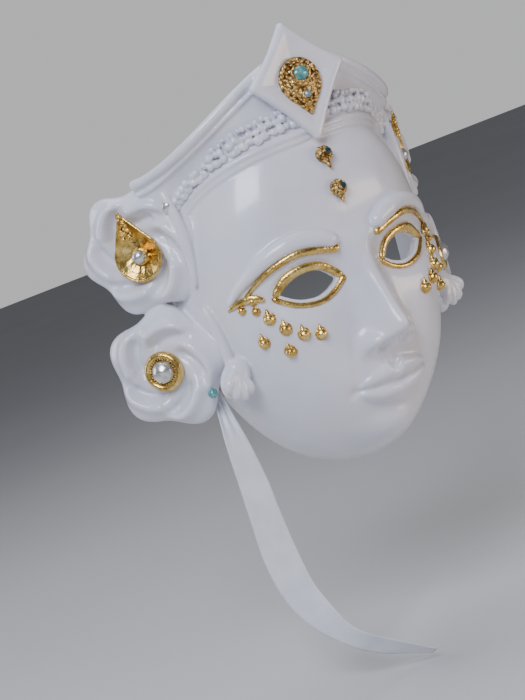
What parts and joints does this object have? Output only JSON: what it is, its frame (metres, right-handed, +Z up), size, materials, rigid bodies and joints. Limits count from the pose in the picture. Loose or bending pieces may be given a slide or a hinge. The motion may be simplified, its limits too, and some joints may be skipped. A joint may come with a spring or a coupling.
{
  "type": "venetian masquerade mask",
  "caption": "Full-face masquerade mask with a jewelled tiara, scroll rosettes at the sides, gilded brows and eye rims, open eye holes and a hanging ribbon.",
  "frame": {"origin": "on the plane of the back rim, on the centreline, level with the point of the chin", "axes": "+Z up the face, +Y backwards out of the open back towards the wearer or wall, so the face looks along -Y; +X is the right-hand side as seen from the front"},
  "size_m": [0.2468, 0.1305, 0.3752],
  "materials": {
    "porcelain": "high gloss white glaze",
    "gold": "polished gilt",
    "pearl": "pearlescent",
    "turquoise": "polished",
    "crystal": "clear, faceted",
    "dark_stone": "polished",
    "ribbon_satin": "satin",
    "tab_brass": "satin"
  },
  "bodies": {
    "root": {"brooch_crystal": "crystal", "brooch_turquoise": "turquoise", "brow_gilding_left": "gold", "brow_gilding_right": "gold", "brow_left": "porcelain", "brow_right": "porcelain", "centre_brooch": "gold", "centre_plate": "porcelain", "cheek_drops_left": "gold", "cheek_drops_right": "gold", "ear_bead_left": "turquoise", "ear_bead_right": "turquoise", "ear_cup_left": "gold", "ear_cup_right": "gold", "ear_pearl_left": "pearl", "ear_pearl_right": "pearl", "ear_rosette_left": "porcelain", "ear_rosette_right": "porcelain", "ear_shell_left": "porcelain", "ear_shell_right": "porcelain", "eye_corner_beads_left": "gold", "eye_corner_beads_right": "gold", "eye_rim_left": "gold", "eye_rim_right": "gold", "face_shell": "porcelain", "forehead_drop_lower": "gold", "forehead_drop_lower_stone": "dark_stone", "forehead_drop_upper": "gold", "forehead_drop_upper_stone": "dark_stone", "ribbon": "ribbon_satin", "ribbon_knot": "ribbon_satin", "ribbon_tab_left": "tab_brass", "ribbon_tab_right": "tab_brass", "temple_brooch_left": "gold", "temple_brooch_pearl_left": "pearl", "temple_brooch_pearl_right": "pearl", "temple_brooch_right": "gold", "temple_pearl_left": "pearl", "temple_pearl_right": "pearl", "temple_rosette_left": "porcelain", "temple_rosette_right": "porcelain", "tiara_moulding_left": "porcelain", "tiara_moulding_right": "porcelain", "tiara_pearls_left": "porcelain", "tiara_pearls_right": "porcelain", "tiara_wing_left": "porcelain", "tiara_wing_right": "porcelain"}
  },
  "joints": []
}
